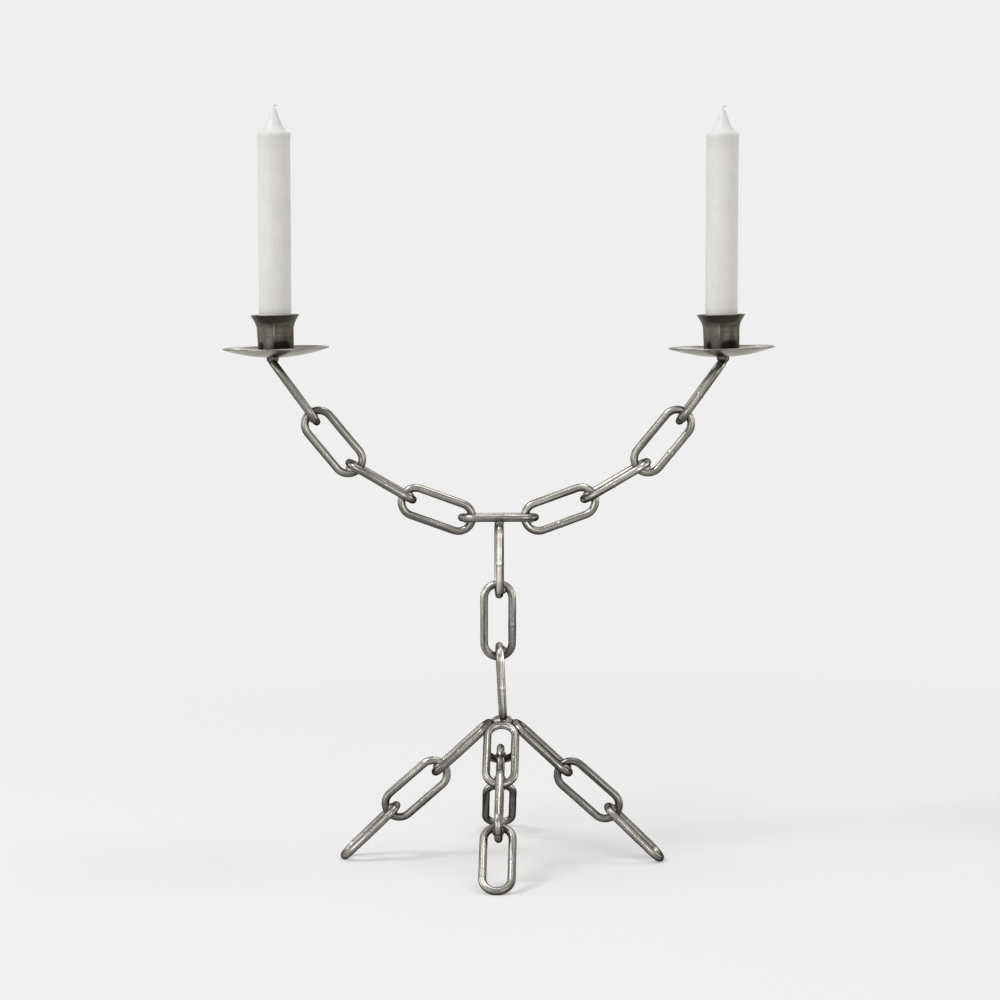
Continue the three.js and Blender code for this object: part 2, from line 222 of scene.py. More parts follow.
class HolderSettings(bpy.types.PropertyGroup):
    """The drip pans and candle cups."""

    pan_radius: size("Pan Radius", "Radius of a drip pan", box_radius("left_drip_pan"))
    pan_depth: size("Pan Depth", "Rise of the pan from its middle to its rim", 6.2 * MM)
    pan_wall: size("Pan Wall", "Thickness of the pan", 1.0 * MM)
    cup_height: size("Cup Height", "Height of a candle cup", 27.3 * MM)
    cup_foot: size("Cup Foot", "Radius of the cup at its foot", 12.1 * MM)
    cup_throat: size("Cup Throat", "Radius of the cup where it starts to flare", 12.5 * MM)
    cup_rim: size("Cup Rim", "Radius of the flared rim", box_radius("left_candle_cup"))
    throat_height: size("Throat Height", "Height at which the flare starts", 18.0 * MM)
    cup_wall: size("Cup Wall", "Thickness of the cup", 0.8 * MM)
    cup_floor: size("Cup Floor", "Thickness of the cup's floor", 1.0 * MM)
    cup_corner: size("Cup Corner", "Radius of the corner at the foot", 1.3 * MM)
    flare: number("Flare", "Curve of the flare, 1 is straight", 1.6, min=1.0, max=4.0)
    segments: count("Segments", "Faces around each piece", 96, min=16)
    pan_steel: color("Pan Steel", "Colour of the drip pans", (0.3, 0.288, 0.264))
    pan_roughness: share("Pan Roughness", "Roughness of the drip pans", 0.12)
    cup_steel: color("Cup Steel", "Colour of the candle cups", (0.118, 0.107, 0.095))
    cup_roughness: share("Cup Roughness", "Roughness of the candle cups", 0.38)


class CandleSettings(bpy.types.PropertyGroup):
    """The candles and their wicks."""

    radius: size("Radius", "Radius of a candle", 11.0 * MM)
    length: size("Length", "From the foot to the shoulder", 148.0 * MM)
    foot_inset: size("Foot Inset", "How much the foot is pared to go into the cup", 0.5 * MM)
    foot_height: size("Foot Height", "Height of the pared foot", 10.0 * MM)
    foot_round: size("Foot Round", "Radius of the rounded edge under the foot", 1.0 * MM)
    band: size("Band", "How far the lip under the tip stands proud", 0.25 * MM)
    band_height: size("Band Height", "Height of that lip", 2.2 * MM)
    tip_height: size("Tip Height", "Height of the drawn-in tip", 16.5 * MM)
    tip_radius: size("Tip Radius", "Radius of the top of the tip", 1.5 * MM)
    wick_radius: size("Wick Radius", "Radius of a wick", 0.65 * MM)
    wick_stand: size("Wick Stand", "Straight part of a wick above the tip", 1.5 * MM)
    wick_curl: size("Wick Curl", "Radius of the curled end of a wick", 0.95 * MM)
    segments: count("Segments", "Faces around a candle", 64, min=16)
    wax: color("Wax", "Colour of the wax", (0.61, 0.603, 0.58))
    # The tip's paler colour is painted light, standing in for light through the thin wax
    painted_tip_light: color("Tip Wax", "Colour of the wax where the thin tip lets light through", (0.65, 0.65, 0.643))
    cotton: color("Cotton", "Colour of the wick", (0.8, 0.79, 0.75))


class StageSettings(bpy.types.PropertyGroup):
    """Floor, background, lamps and camera."""

    background: color("Background", "Colour of the floor and backdrop in the picture", (0.863, 0.863, 0.863))
    floor: color("Floor", "Colour of the lit floor", (0.85, 0.85, 0.85))
    shadow: share("Shadow", "Share of the floor that takes shadows", 0.6)
    floor_size: size("Floor Size", "Half the width of the floor", 1.4)
    shadow_reach: size("Shadow Reach", "From the middle to where the shadows have faded", 1.1)
    shadow_core: share("Shadow Core", "Share of that reach over which the shadows are full", 0.45)
    warm: color("Warm Side", "Colour of the lamp on the right", (1.0, 0.91, 0.83))
    ambient: share("Ambient", "Brightness of the light from all round", 0.3)
    lens: number("Lens", "Focal length of the camera", 100.607, unit="CAMERA")
    camera_place: sizes("Camera Place", "Where the camera stands", (0.00025, -1.909, 0.4251))
    camera_tilt: number(
        "Camera Tilt", "Turn of the camera up from looking straight down", math.radians(84.75),
        unit="ROTATION",
    )


# Node trees

class Nodes:
    """Adds nodes to one tree; an input takes a value or another node's output."""

    def __init__(self, tree):
        self.tree = tree

    def fill(self, inputs, values):
        for socket, value in values.items():
            if isinstance(value, bpy.types.NodeSocket):
                self.tree.links.new(value, inputs[socket])
            else:
                inputs[socket].default_value = value

    def add(self, kind, values=None, **settings):
        """Adds a node with its settings and inputs, and gives its outputs."""
        made = self.tree.nodes.new(kind)
        for name, value in settings.items():
            setattr(made, name, value)
        self.fill(made.inputs, values or {})
        return made.outputs

    def math(self, operation, *values):
        return self.add("ShaderNodeMath", dict(enumerate(values)), operation=operation)[0]

    def mix(self, factor, first, second):
        """Mixes two colours, whose sockets come after the node's plain ones."""
        return self.add("ShaderNodeMix", {0: factor, 6: first, 7: second}, data_type="RGBA")[2]

    def ramp(self, value, low, high, to_low=0.0, to_high=1.0, interpolation="LINEAR"):
        values = dict(enumerate((value, low, high, to_low, to_high)))
        return self.add("ShaderNodeMapRange", values, interpolation_type=interpolation)[0]

    def scaled(self, vector, factor):
        return self.add("ShaderNodeVectorMath", {0: vector, "Scale": factor}, operation="SCALE")[0]

    def noise(self, vector, scale, detail, **more):
        values = {"Vector": vector, "Scale": scale, "Detail": detail, **more}
        dimensions = "4D" if "W" in more else "3D"
        return self.add("ShaderNodeTexNoise", values, noise_dimensions=dimensions)["Fac"]

    def split(self, vector):
        return self.add("ShaderNodeSeparateXYZ", {0: vector})

    def joined(self, *parts):
        return self.add("ShaderNodeCombineXYZ", dict(enumerate(parts)))[0]

    def position(self):
        return self.add("GeometryNodeInputPosition")[0]

    def named(self, name, data_type="FLOAT"):
        return self.add("GeometryNodeInputNamedAttribute", {"Name": name}, data_type=data_type)["Attribute"]

    def store(self, geometry, name, vector):
        values = {"Geometry": geometry, "Name": name, "Value": vector}
        kind = {"data_type": "FLOAT_VECTOR", "domain": "POINT"}
        return self.add("GeometryNodeStoreNamedAttribute", values, **kind)["Geometry"]

    def attribute(self, name, output="Fac"):
        return self.add("ShaderNodeAttribute", attribute_name=name)[output]

    def object_place(self):
        return self.add("ShaderNodeTexCoord")["Object"]


def new_group(name, kind, inputs, outputs):
    """A node group with named sockets: its nodes, what it is given, and where its results go."""
    tree = bpy.data.node_groups.new(name, kind)
    for in_out, sockets in (("INPUT", inputs), ("OUTPUT", outputs)):
        for label, socket in sockets.items():
            tree.interface.new_socket(name=label, in_out=in_out, socket_type="NodeSocket" + socket)
    nodes = Nodes(tree)
    return nodes, nodes.add("NodeGroupInput"), tree.nodes.new("NodeGroupOutput").inputs


def shape_group(name, inputs):
    """A Geometry Nodes tree that takes points, a material and the named sizes."""
    inputs = {"Geometry": "Geometry", "Material": "Material", **inputs}
    return new_group(name, "GeometryNodeTree", inputs, {"Geometry": "Geometry"})


def repeated(nodes, points, shape, **more):
    """A copy of a shape on every point, turned as the point says."""
    values = {"Points": points, "Instance": shape, "Rotation": nodes.named("turn", "QUATERNION"), **more}
    copies = nodes.add("GeometryNodeInstanceOnPoints", values)[0]
    return nodes.add("GeometryNodeRealizeInstances", {"Geometry": copies})[0]


def uneven(nodes, shape, amount, scale, detail, seed):
    """Moves every point along its normal by a seeded noise of the given height."""
    noise = nodes.noise(nodes.position(), scale, detail, W=seed)
    height = nodes.math("MULTIPLY", nodes.ramp(noise, 0.25, 0.75, -1.0, 1.0), amount)
    offset = nodes.scaled(nodes.add("GeometryNodeInputNormal")[0], height)
    return nodes.add("GeometryNodeSetPosition", {"Geometry": shape, "Offset": offset})[0]


def kept_in(nodes, shape, operation, limit):
    """Moves points that are too low or too high to the limit."""
    x, y, z = nodes.split(nodes.position())
    place = nodes.joined(x, y, nodes.math(operation, z, limit))
    return nodes.add("GeometryNodeSetPosition", {"Geometry": shape, "Position": place})[0]


def finish_tree(nodes, shape, material, result):
    """Ends a tree: real geometry, smooth shading and the material."""
    shape = nodes.add("GeometryNodeRealizeInstances", {"Geometry": shape})[0]
    shape = nodes.add("GeometryNodeSetShadeSmooth", {"Geometry": shape})[0]
    shape = nodes.add("GeometryNodeSetMaterial", {"Geometry": shape, "Material": material})[0]
    nodes.fill(result, {"Geometry": shape})
    return nodes.tree


def settle(piece, tree, values):
    """Runs a tree on a piece's points and keeps the result as the piece's plain mesh."""
    modifier = piece.modifiers.new(tree.name, "NODES")
    modifier.node_group = tree
    for item in tree.interface.items_tree:
        if item.in_out == "INPUT" and item.name in values:
            modifier[item.identifier] = values[item.name]
    graph = bpy.context.evaluated_depsgraph_get()
    result = bpy.data.meshes.new_from_object(piece.evaluated_get(graph), depsgraph=graph)
    piece.modifiers.clear()
    points, piece.data = piece.data, result
    result.name = piece.name
    bpy.data.meshes.remove(points)


# Each input is filled from the chain's setting of the same name
CHAIN_INPUTS = {
    "Link Length": "Float", "Link Width": "Float", "Wire": "Float", "Seam Height": "Float",
    "Seam Width": "Float", "Seam Offset": "Float", "Unevenness": "Float", "Rings": "Int", "Sides": "Int",
}


def chain_tree():
    """One link is a wire swept round a rounded loop with a closing seam; it repeats on every point."""
    nodes, given, result = shape_group("welded_chain", CHAIN_INPUTS)
    wire_radius = nodes.math("MULTIPLY", given["Wire"], 0.5)
    long_side = nodes.math("SUBTRACT", given["Link Length"], given["Wire"])
    short_side = nodes.math("SUBTRACT", given["Link Width"], given["Wire"])
    path = nodes.add("GeometryNodeCurvePrimitiveQuadrilateral", {"Width": long_side, "Height": short_side})[0]
    path = nodes.add("GeometryNodeFilletCurve", {
        "Curve": path, "Count": 24, "Radius": nodes.math("MULTIPLY", short_side, 0.5), "Limit Radius": True,
    }, mode="POLY")[0]
    path = nodes.add("GeometryNodeResampleCurve", {"Curve": path, "Count": given["Rings"]})[0]

    # Where a point lies along the loop and around the wire, kept for the drawn streaks
    turn = nodes.math("MULTIPLY", nodes.add("GeometryNodeSplineParameter")["Factor"], 2 * math.pi)
    round_loop = nodes.joined(nodes.math("COSINE", turn), nodes.math("SINE", turn))
    path = nodes.store(path, "loop_place", round_loop)
    profile = nodes.add("GeometryNodeCurvePrimitiveCircle", {
        "Resolution": given["Sides"], "Radius": wire_radius,
    })[0]
    outwards = nodes.add("ShaderNodeVectorMath", {0: nodes.position()}, operation="NORMALIZE")[0]
    profile = nodes.store(profile, "wire_place", outwards)

    # The closing seam is a low ring near the middle of one side
    x, y, _ = nodes.split(nodes.position())
    away = nodes.math("ABSOLUTE", nodes.math("SUBTRACT", x, given["Seam Offset"]))
    ring = nodes.ramp(away, 0.0, given["Seam Width"], 1.0, 0.0, "SMOOTHSTEP")
    ring = nodes.math("MULTIPLY", ring, nodes.math("LESS_THAN", y, 0.0))
    rise = nodes.math("DIVIDE", given["Seam Height"], wire_radius)
    link = nodes.add("GeometryNodeCurveToMesh", {
        "Curve": path, "Profile Curve": profile, "Scale": nodes.math("MULTIPLY_ADD", ring, rise, 1.0),
    })[0]

    links = repeated(nodes, given["Geometry"], link)
    links = uneven(nodes, links, given["Unevenness"], 90.0, 0.0, nodes.named("batch"))
    # The feet stand flat on the floor
    links = kept_in(nodes, links, "MAXIMUM", 0.0)
    return finish_tree(nodes, links, given["Material"], result)


def weld_tree():
    """A ball on every point, turned and stretched to the bead's size, then made lumpy."""
    nodes, given, result = shape_group("weld_beads", {"Lumps": "Float", "Fineness": "Int"})
    ball = nodes.add("GeometryNodeMeshIcoSphere", {"Radius": 1.0, "Subdivisions": given["Fineness"]})[0]
    beads = repeated(nodes, given["Geometry"], ball, Scale=nodes.named("half_size", "FLOAT_VECTOR"))
    height = nodes.math("MULTIPLY", given["Lumps"], nodes.named("roughcast"))
    beads = uneven(nodes, beads, height, 330.0, 2.0, 2.0)
    # A bead under a pan ends inside the sheet
    beads = kept_in(nodes, beads, "MINIMUM", nodes.named("ceiling"))
    return finish_tree(nodes, beads, given["Material"], result)


# Shared surface effects

def streak_group():
    """Fine marks that run the way the metal was drawn or spun, in two widths."""
    nodes, given, result = new_group("metal_streaks", "ShaderNodeTree", {
        "Grain": "Vector", "Grain W": "Float", "Along": "Float", "Across": "Float", "Seed": "Float",
    }, {"Wide": "Float", "Fine": "Float"})
    x, y, z = nodes.split(given["Grain"])
    x, y = (nodes.math("MULTIPLY", part, given["Along"]) for part in (x, y))
    z, w = (nodes.math("MULTIPLY", part, given["Across"]) for part in (z, given["Grain W"]))
    for label, narrowing in (("Wide", 1.0), ("Fine", 2.6)):
        place = nodes.joined(x, y, nodes.math("MULTIPLY", z, narrowing))
        seeded = nodes.math("ADD", nodes.math("MULTIPLY", w, narrowing), given["Seed"])
        nodes.fill(result, {label: nodes.ramp(nodes.noise(place, 1.0, 1.0, W=seeded), 0.34, 0.66)})
    return nodes.tree


def patina_group():
    """Soft patches where the surface is dull, and small dark pits."""
    nodes, given, result = new_group("metal_patina", "ShaderNodeTree", {
        "Vector": "Vector", "Patch Size": "Float", "Pit Size": "Float",
    }, {"Patch": "Float", "Pit": "Float"})
    patch_scale, pit_scale = (nodes.math("DIVIDE", 1.0, given[f"{label} Size"]) for label in ("Patch", "Pit"))
    patch = nodes.noise(given["Vector"], patch_scale, 3.0, Distortion=0.4)
    pit = nodes.noise(given["Vector"], pit_scale, 2.0)
    nodes.fill(result, {
        "Patch": nodes.ramp(patch, 0.35, 0.65, interpolation="SMOOTHSTEP"),
        "Pit": nodes.ramp(pit, 0.48, 0.68, interpolation="SMOOTHSTEP"),
    })
    return nodes.tree


def shared(nodes, name, build, values):
    """The outputs of a shared effect, which is built when it is first used."""
    group = bpy.data.node_groups.get(name) or build()
    return nodes.add("ShaderNodeGroup", values, node_tree=group)


# Materials

def cleared(owner):
    """The nodes of a new material or world, with nothing in them yet."""
    owner.use_nodes = True
    owner.node_tree.nodes.clear()
    return Nodes(owner.node_tree)


def new_material(name):
    material = bpy.data.materials.new(name)
    return material, cleared(material)


def coat(nodes, values):
    """Ends a material in a Principled shader with the given inputs."""
    nodes.add("ShaderNodeOutputMaterial", {0: nodes.add("ShaderNodeBsdfPrincipled", values)[0]})


def raised(nodes, height, strength, distance):
    return nodes.add("ShaderNodeBump", {"Height": height, "Strength": strength, "Distance": distance})[0]


def paint(color, part=1.0):
    """A colour for a socket, made lighter or darker by a part."""
    return (*(min(level * part, 1.0) for level in color), 1.0)


def steel_material(
    name, bright, dark, roughness, along, across, streak, patch_size, pits, bump, edge=0.5, scorch_and_painted_dark=0.5,
):
    """Bare steel with streaks, dull patches and pits; its streaks follow the piece's grain attribute.

    Along and across say how close the streaks are, and edge how bright the steel is at a grazing angle.
    """
    material, nodes = new_material(name)
    streaks = shared(nodes, "metal_streaks", streak_group, {
        "Grain": nodes.attribute("grain", "Vector"), "Grain W": nodes.attribute("grain_w"),
        "Along": along, "Across": across, "Seed": nodes.attribute("batch"),
    })
    place = nodes.object_place()
    patina = shared(nodes, "metal_patina", patina_group, {
        "Vector": place, "Patch Size": patch_size, "Pit Size": PIT_SIZE,
    })
    low = nodes.ramp(nodes.split(place)["Z"], *PITTED_HEIGHTS, 1.0, SMOOTH_SHARE)
    pitted = nodes.math("MULTIPLY", patina["Pit"], nodes.math("MULTIPLY", low, pits))
    fine = nodes.math("MULTIPLY", streaks["Fine"], FINE_STREAKS)
    mark = nodes.math("MULTIPLY_ADD", streaks["Wide"], WIDE_STREAKS, fine)
    tone = nodes.mix(nodes.math("MULTIPLY", mark, streak), paint(bright), paint(dark))
    tone = nodes.mix(nodes.math("MULTIPLY", patina["Patch"], DULL_PATCHES), tone, paint(dark))
    # Heat tint near the welds; on the cups this darkening is painted dark reflection and shade, on the pans a
    # dark line at the rim and painted shade round the cup's foot
    burn_and_painted_dark = nodes.math("MULTIPLY", nodes.attribute("burn_and_painted_dark"), scorch_and_painted_dark)
    tone = nodes.mix(burn_and_painted_dark, tone, paint(dark, BURN_AND_PAINTED_DARK))
    tone = nodes.mix(pitted, tone, paint(dark, PIT_DARK))
    gloss = nodes.math("MULTIPLY_ADD", streaks["Fine"], STREAK_ROUGH, roughness - STREAK_ROUGH / 2)
    gloss = nodes.math("MULTIPLY_ADD", patina["Patch"], PATCH_ROUGH, gloss)
    relief = nodes.math("MULTIPLY_ADD", streaks["Fine"], FINE_RELIEF, streaks["Wide"])
    relief = nodes.math("SUBTRACT", relief, pitted)
    # The shade attribute scales the colour: each piece's own tone, with painted light and shade on the chain
    # and painted reflection on the cups
    coat(nodes, {
        "Base Color": nodes.scaled(tone, nodes.attribute("shade")),
        "Roughness": nodes.math("MULTIPLY_ADD", burn_and_painted_dark, BURN_AND_PAINTED_ROUGH, gloss),
        "Normal": raised(nodes, relief, nodes.math("MULTIPLY", low, bump), RELIEF),
        "Metallic": 1.0,
        "Specular Tint": (edge, edge * 0.98, edge * 0.93, 1.0),
    })
    return material


def wax_material(settings):
    """Cool white wax with a faint cloudiness and warmer pulls down its length, and a soft shine."""
    material, nodes = new_material("candle_wax")
    cloud = nodes.noise(nodes.object_place(), 90.0, 3.0, Distortion=0.3)
    grain = nodes.add("ShaderNodeMapping", {
        "Vector": nodes.attribute("grain", "Vector"), "Scale": (5.0, 5.0, 0.05),
    })[0]
    pulls = nodes.noise(grain, 1.0, 3.0)
    warm = [level * part for level, part in zip(settings.wax, (0.96, 0.93, 0.88))]
    tone = nodes.mix(nodes.ramp(cloud, 0.35, 0.65), paint(settings.wax), paint(settings.wax, 1.05))
    tone = nodes.mix(nodes.ramp(pulls, 0.5, 0.75, 0.0, 0.35), tone, paint(warm))
    # Painted light: the tip is paler, for light through the thin wax
    tone = nodes.mix(nodes.attribute("tip"), tone, paint(settings.painted_tip_light))
    coat(nodes, {
        "Base Color": tone,
        "Roughness": nodes.ramp(pulls, 0.3, 0.7, 0.38, 0.52),
        "Normal": raised(nodes, nodes.math("MULTIPLY_ADD", cloud, 0.5, pulls), 0.25, 0.2 * MM),
        "Subsurface Weight": 0.25,
        "Subsurface Radius": (1.0, 0.85, 0.65),
        "Subsurface Scale": 2.5 * MM,
        "IOR": 1.44,
    })
    return material


def wick_material(settings):
    """Braided cotton: pale strands with painted shade in the gaps between them, and a little fuzz."""
    material, nodes = new_material("wick_cotton")
    strand = nodes.attribute("strand")
    fuzz = nodes.noise(nodes.object_place(), 4000.0, 2.0)
    # Painted shade in the grooves between the strands
    groove_shade = paint(settings.cotton, 0.55)
    tone = nodes.mix(nodes.ramp(strand, 0.2, 0.7, 1.0, 0.0), paint(settings.cotton), groove_shade)
    coat(nodes, {
        "Base Color": nodes.mix(nodes.math("MULTIPLY", fuzz, 0.3), tone, groove_shade),
        "Roughness": nodes.ramp(fuzz, 0.3, 0.7, 0.7, 0.95),
        "Normal": raised(nodes, nodes.math("ADD", strand, fuzz), 0.5, 0.1 * MM),
        "Sheen Weight": 0.3,
    })
    return material


# Where things are in the frame

def corners(node):
    """The different corner points of a CAD node, in metres."""
    points = kept(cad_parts[node].data, "position")
    return np.unique(points.round(7), axis=0)


def principal_axes(points):
    """The middle of the points and their long, wide and thin directions, as columns."""
    middle = points.mean(axis=0)
    _, vectors = np.linalg.eigh(np.cov((points - middle).T))
    axes = vectors[:, ::-1].copy()
    axes[:, 2] = np.cross(axes[:, 0], axes[:, 1])
    return middle, axes


def seat_link(points, pattern):
    """Lays an uncut link over a link's corners, so that a foot with its ground flat fits as well."""
    middle, axes = principal_axes(points)
    for reach in (2.0 * MM, 0.6 * MM, 0.3 * MM):
        placed = pattern @ axes.T + middle
        gaps = np.linalg.norm(points[:, None, :] - placed[None, :, :], axis=2)
        nearest = gaps.argmin(axis=1)
        close = gaps[np.arange(len(points)), nearest] < reach
        ours, theirs = pattern[nearest[close]], points[close]
        from_middle, to_middle = ours.mean(axis=0), theirs.mean(axis=0)
        u, _, vt = np.linalg.svd((ours - from_middle).T @ (theirs - to_middle))
        axes = (u @ np.diag([1.0, 1.0, np.linalg.det(u @ vt)]) @ vt).T
        middle = to_middle - axes @ from_middle
    return middle, axes


def link_places():
    """Middle and axes of every link, turned so that the closing seam is in front or below."""
    middle, axes = principal_axes(corners("stem_middle_link"))
    pattern = (corners("stem_middle_link") - middle) @ axes
    places = {}
    for name in LINKS:
        middle, axes = seat_link(corners(name), pattern)
        if axes[2, 0] > 0:
            axes[:, 0] *= -1
        leading = 1 if abs(axes[1, 1]) > 0.5 else 2
        if axes[leading, 1] < 0:
            axes[:, 1] *= -1
        axes[:, 2] = np.cross(axes[:, 0], axes[:, 1])
        places[name] = (middle, axes)
    return places


def centre_line(place, settings, steps=96):
    """Points on the middle line of a link's wire."""
    middle, axes = place
    bend = (settings.link_width - settings.wire) / 2
    straight = (settings.link_length - settings.wire) / 2 - bend
    turn = np.linspace(0, 2 * math.pi, steps, endpoint=False)
    ends = np.stack([bend * np.cos(turn) + straight * np.sign(np.cos(turn)), bend * np.sin(turn)], axis=1)
    rods = np.linspace(-straight, straight, steps // 3)
    sides = [np.stack([rods, np.full_like(rods, sign * bend)], axis=1) for sign in (-1, 1)]
    flat = np.concatenate([ends, *sides])
    return middle + flat @ axes[:, :2].T


def highest(points):
    return points[points[:, 2].argmax()]


def upright_place(node):
    """Where a turned piece stands: its axis, and the point of the axis at its foot."""
    points = corners(node)
    middle, axes = principal_axes(points)
    axis = axes[:, np.abs(axes[2]).argmax()]
    axis = axis * np.sign(axis[2])
    foot = middle + axis * ((points @ axis).min() - middle @ axis)
    turn = UP.rotation_difference(Vector(axis))
    return Matrix.Translation(Vector(foot)) @ turn.to_matrix().to_4x4()


def heights_and_turns(mesh, node):
    """Height above a turned piece's foot and degrees round from the front, for every point of a mesh."""
    upright = upright_place(node).inverted()
    spots = np.array([upright @ vertex.co for vertex in mesh.vertices])
    return spots[:, 2], np.degrees(np.arctan2(spots[:, 0], -spots[:, 1]))


# What the points of a mesh keep for the trees and materials to read

# Kind of a kept value and the field that holds it, by how many numbers it has
KEPT_KINDS = {1: ("FLOAT", "value"), 3: ("FLOAT_VECTOR", "vector"), 4: ("QUATERNION", "value")}


def keep(mesh, name, values):
    """Keeps a number, a vector or a turn for every point."""
    values = np.array(values, dtype=np.float32).reshape(len(mesh.vertices), -1)
    kind, field = KEPT_KINDS[values.shape[1]]
    mesh.attributes.new(name, kind, "POINT").data.foreach_set(field, values.ravel())


def kept(mesh, name):
    """Reads a kept number or vector back, one row for every point."""
    layer = mesh.attributes[name]
    width, field = (3, "vector") if layer.data_type == "FLOAT_VECTOR" else (1, "value")
    values = np.empty(len(layer.data) * width)
    layer.data.foreach_get(field, values)
    return values.reshape(-1, width)


def forget(mesh, *names):
    for name in names:
        if name in mesh.attributes:
            mesh.attributes.remove(mesh.attributes[name])


def ramped(values, stops, unit=1.0):
    """Reads values off a line through stops, each a place in the given unit and the level there."""
    places, levels = zip(*stops)
    return np.interp(values / unit, places, levels)


# Meshes

def add_piece(name, mesh):
    piece = bpy.data.objects.new(name, mesh)
    bpy.context.collection.objects.link(piece)
    return piece


def add_points(name, places, axes):
    """A piece of bare points with their turns, for a tree to put its shapes on."""
    mesh = bpy.data.meshes.new(f"{name}_points")
    mesh.from_pydata([tuple(place) for place in places], [], [])
    keep(mesh, "turn", [tuple(Matrix(axis.tolist()).to_quaternion()) for axis in axes])
    return add_piece(name, mesh)


def dress(piece, material, body, nodes):
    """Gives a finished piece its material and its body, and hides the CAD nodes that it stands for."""
    if material.name not in piece.data.materials:
        piece.data.materials.clear()
        piece.data.materials.append(material)
    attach(piece, body)
    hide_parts(*nodes)


def skin(name, shape, rings):
    """Closes rings of points, or single points at the ends, into a smooth mesh."""
    for lower, upper in zip(rings, rings[1:]):
        for step in range(max(len(lower), len(upper))):
            around = ((lower, step), (lower, step + 1), (upper, step + 1), (upper, step))
            face = dict.fromkeys(ring[i % len(ring)] for ring, i in around)
            shape.faces.new(list(face))
    bmesh.ops.recalc_face_normals(shape, faces=shape.faces)
    mesh = bpy.data.meshes.new(name)
    shape.to_mesh(mesh)
    shape.free()
    mesh.shade_smooth()
    return mesh


def arc(middle, radius, start, end, steps):
    """Points of a circle's arc in a profile, from one angle to another in degrees."""
    angles = np.radians(np.linspace(start, end, steps + 1))
    return [(middle[0] + radius * math.cos(a), middle[1] + radius * math.sin(a)) for a in angles]


def lathe(name, profile, segments, place, sharp=40.0):
    """Spins a profile of radii and heights round Z, closed at its poles, and puts it in its place."""
    shape = bmesh.new()
    rings, grain = [], []
    travelled, before = 0.0, profile[0]
    for radius, height in profile:
        travelled += math.dist(before, (radius, height))
        before = (radius, height)
        steps, unit = (segments, 1.0) if radius else (1, 0.0)
        ring = []
        for step in range(steps):
            turn = 2 * math.pi * step / segments
            ring.append(shape.verts.new((radius * math.cos(turn), radius * math.sin(turn), height)))
            grain.append((unit * math.cos(turn), unit * math.sin(turn), travelled / MM))
        rings.append(ring)
    shape.transform(place)
    mesh = skin(name, shape, rings)
    mesh.set_sharp_from_angle(angle=math.radians(sharp))
    keep(mesh, "grain", grain)
    return add_piece(name, mesh)


def sweep(name, path, radius, sides, strands, twist):
    """A twisted cord along a path, with rounded strands, closed at both ends."""
    groove, bulge = 0.22, 0.3
    path = [Vector(point) for point in path]
    shape = bmesh.new()
    strand, rings = [], []
    travelled = 0.0
    for i, point in enumerate(path):
        ahead = (path[min(i + 1, len(path) - 1)] - path[max(i - 1, 0)]).normalized()
        side = Vector((0, 1, 0))
        up = ahead.cross(side).normalized()
        if i:
            travelled += (point - path[i - 1]).length
        ring = []
        for step in range(sides):
            around = 2 * math.pi * step / sides
            height = abs(math.cos(strands / 2 * (around + twist * travelled)))
            reach = radius * (1 - groove + groove * height)
            ring.append(shape.verts.new(point + (side * math.cos(around) + up * math.sin(around)) * reach))
            strand.append(height)
        rings.append(ring)
    caps = []
    for end, inner in ((0, 1), (-1, -2)):
        outwards = (path[end] - path[inner]).normalized()
        caps.append([shape.verts.new(path[end] + outwards * radius * bulge)])
        strand.append(0.5)
    mesh = skin(name, shape, [caps[0], *rings, caps[1]])
    keep(mesh, "strand", strand)
    return add_piece(name, mesh)


def smooth_curve(points, steps):
    """A curve through the points, with the given number of steps between each two."""
    points = [np.array(point) for point in points]
    ends = [2 * points[0] - points[1], *points, 2 * points[-1] - points[-2]]
    curve = []
    for a, b, c, d in zip(ends, ends[1:], ends[2:], ends[3:]):
        for t in np.arange(steps) / steps:
            curve.append(tuple(0.5 * (
                2 * b + (c - a) * t + (2 * a - 5 * b + 4 * c - d) * t ** 2 + (3 * b - a - 3 * c + d) * t ** 3
            )))
    return [*curve, tuple(points[-1])]


Bead = namedtuple("Bead", "middle axes half_size roughcast shade ceiling", defaults=(NO_CEILING,))


def weld_beads(settings, chain):
    """A bead for each of WELDS, placed by the middle lines of the wires that it joins."""
    places = link_places()
    lines = {name: centre_line(place, chain) for name, place in places.items()}
    beads = []
    for name in WELDS:
        hint = corners(name).mean(axis=0)
        if name == "hub_weld":
            legs = [line for link, line in lines.items() if link.endswith("leg_upper_link")]
            middle = np.mean([highest(line) for line in legs], axis=0)
            middle[:2] = hint[:2]
            middle[2] += settings.hub_rise
            beads.append(Bead(middle, np.eye(3), tuple(settings.hub), *HUB_LOOK))
        elif name.endswith("_pan_weld"):
            link = name.replace("_pan_weld", "_arm_link_4")
            middle = highest(lines[link]) + (0, 0, chain.wire / 2)
            ahead = UP.cross(Vector(places[link][1][:, 1])).normalized()
            axes = np.array([ahead, UP.cross(ahead), UP]).T
            beads.append(Bead(middle, axes, tuple(settings.pan), *PAN_LOOK, middle[2] + settings.pan_reach))
        else:
            away = {link: np.linalg.norm(line - hint, axis=1) for link, line in lines.items()}
            near = sorted(lines, key=lambda link: away[link].min())[:2]
            first, second = (lines[link][away[link] < WELD_REACH] for link in near)
            gaps = np.linalg.norm(first[:, None] - second[None], axis=2)
            i, j = np.unravel_index(gaps.argmin(), gaps.shape)
            along = Vector(second[j] - first[i]).normalized()
            side = along.orthogonal().normalized()
            axes = np.array([along, side, along.cross(side)]).T
            half_size = settings.seat if name.startswith("stem_top") else settings.joint
            beads.append(Bead((first[i] + second[j]) / 2, axes, tuple(half_size), *JOINT_LOOK))
    return beads


# Operators

